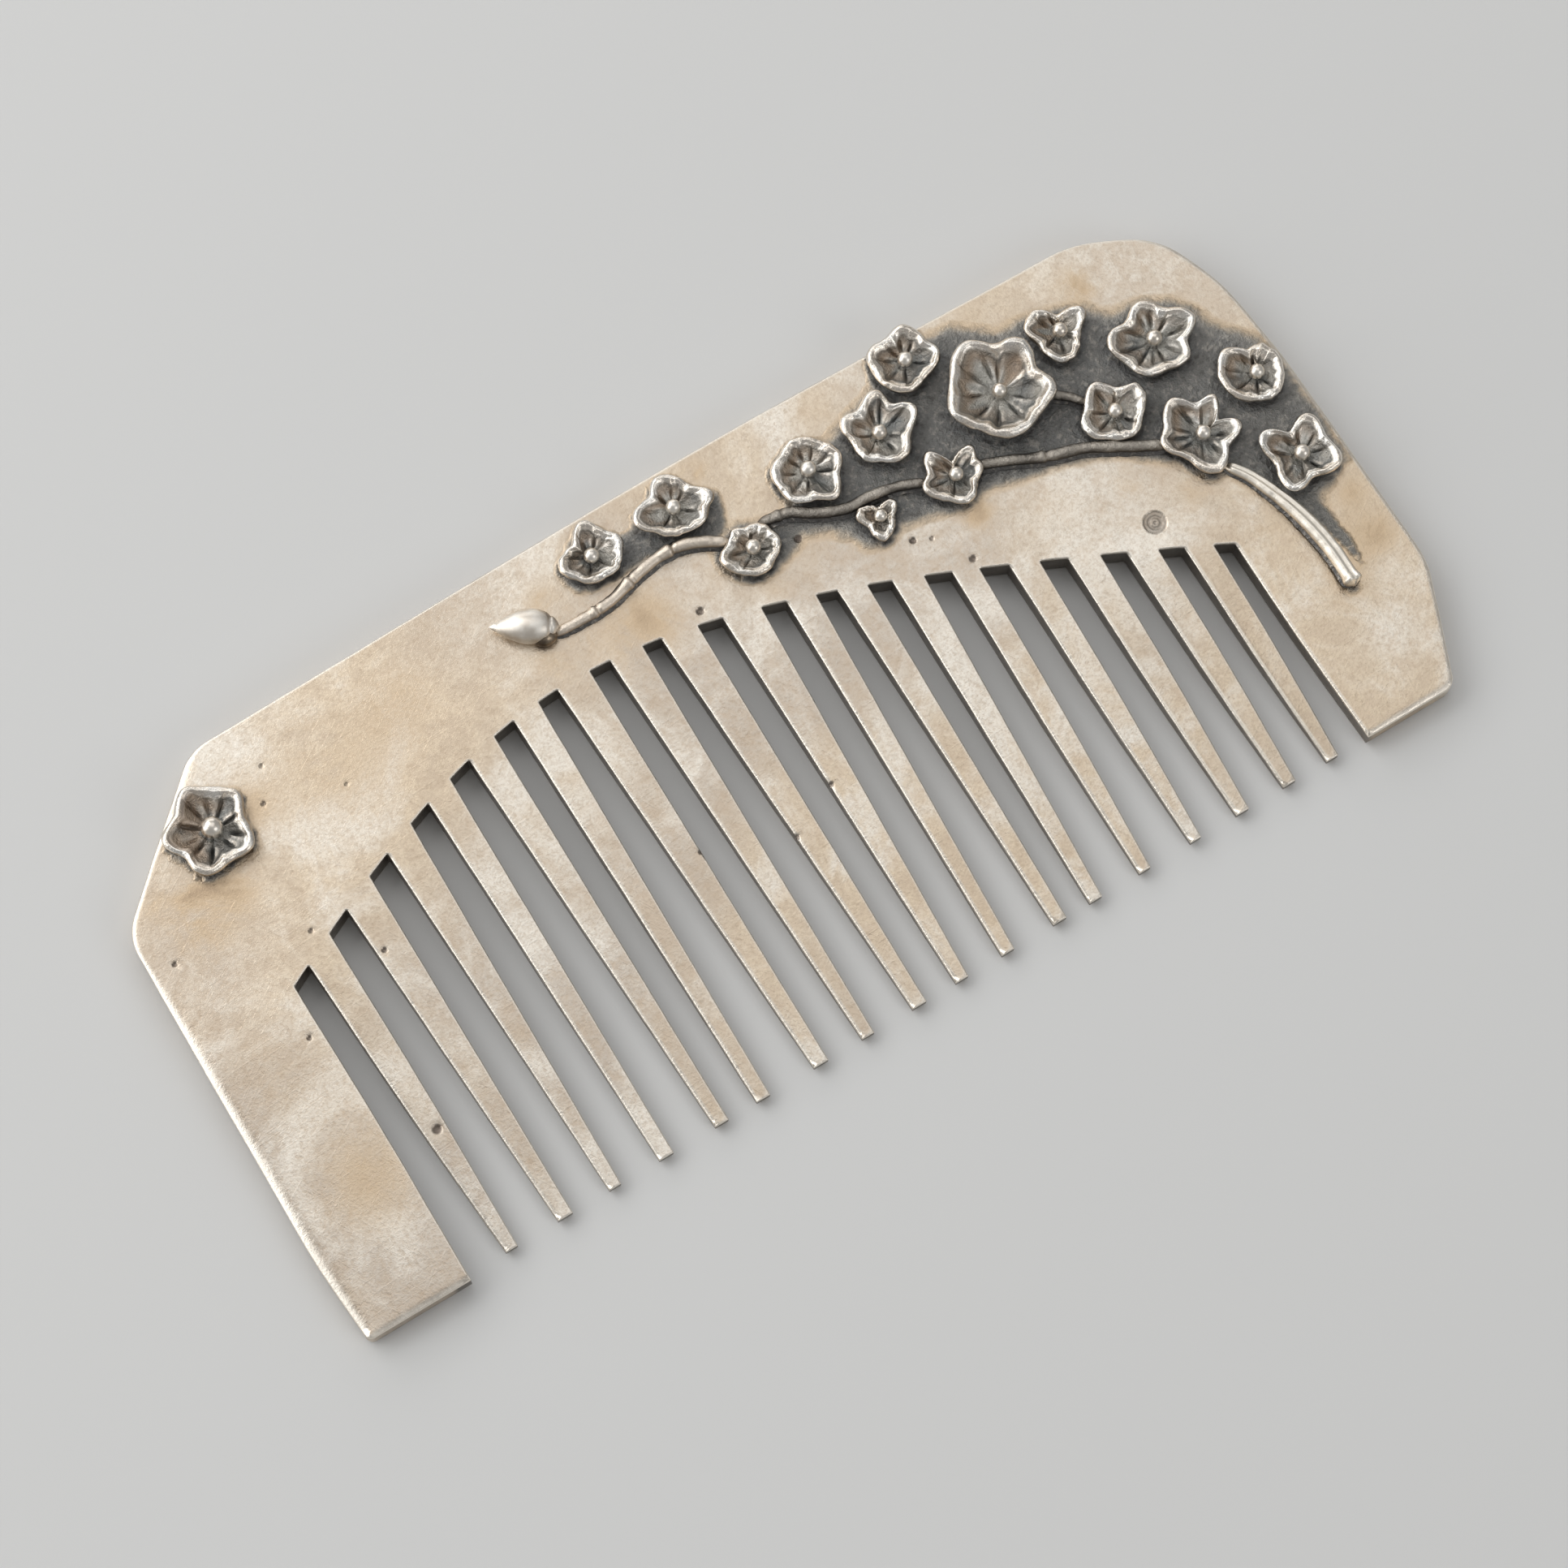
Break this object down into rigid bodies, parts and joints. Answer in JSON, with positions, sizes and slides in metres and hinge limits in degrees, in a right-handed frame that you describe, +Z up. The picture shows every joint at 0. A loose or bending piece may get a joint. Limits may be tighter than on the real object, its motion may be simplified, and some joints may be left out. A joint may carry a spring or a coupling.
{
  "type": "decorative hair comb",
  "caption": "Flat silver hair comb with fine sawn teeth, a curved spine and an applied branch of cupped blossoms with bead hearts and a closed bud.",
  "frame": {"origin": "middle of the comb's bounding box, on the flat back", "axes": "+X along the spine towards the foot of the branch, +Y from the tooth tips to the spine, +Z up through the blossoms"},
  "size_m": [0.098, 0.0458, 0.0049],
  "materials": {
    "sheet_silver": "worn satin silver sheet, warm tarnish and a blue-grey patina around the branch",
    "branch_silver": "oxidised silver wire with a rubbed bright top",
    "blossom_silver": "silver, bright on the rolled rims and oxidised blue-grey in the cups",
    "polished_silver": "polished silver"
  },
  "bodies": {
    "root": {"comb_plate": "sheet_silver", "blossom_01": "blossom_silver", "blossom_02": "blossom_silver", "blossom_03": "blossom_silver", "blossom_04": "blossom_silver", "blossom_05": "blossom_silver", "blossom_06": "blossom_silver", "blossom_07": "blossom_silver", "blossom_08": "blossom_silver", "blossom_09": "blossom_silver", "blossom_10": "blossom_silver", "blossom_11": "blossom_silver", "blossom_12": "blossom_silver", "blossom_13": "blossom_silver", "blossom_14": "blossom_silver", "blossom_15": "blossom_silver", "blossom_16": "blossom_silver", "heart_bead_01": "polished_silver", "heart_bead_02": "polished_silver", "heart_bead_03": "polished_silver", "heart_bead_04": "polished_silver", "heart_bead_05": "polished_silver", "heart_bead_06": "polished_silver", "heart_bead_07": "polished_silver", "heart_bead_08": "polished_silver", "heart_bead_09": "polished_silver", "heart_bead_10": "polished_silver", "heart_bead_11": "polished_silver", "heart_bead_12": "polished_silver", "heart_bead_13": "polished_silver", "heart_bead_14": "polished_silver", "heart_bead_15": "polished_silver", "heart_bead_16": "polished_silver", "stem": "branch_silver", "branch_middle": "branch_silver", "branch_lower": "branch_silver", "branch_tip": "branch_silver", "twig": "branch_silver", "bud": "polished_silver", "bud_sepal": "polished_silver"}
  },
  "joints": []
}
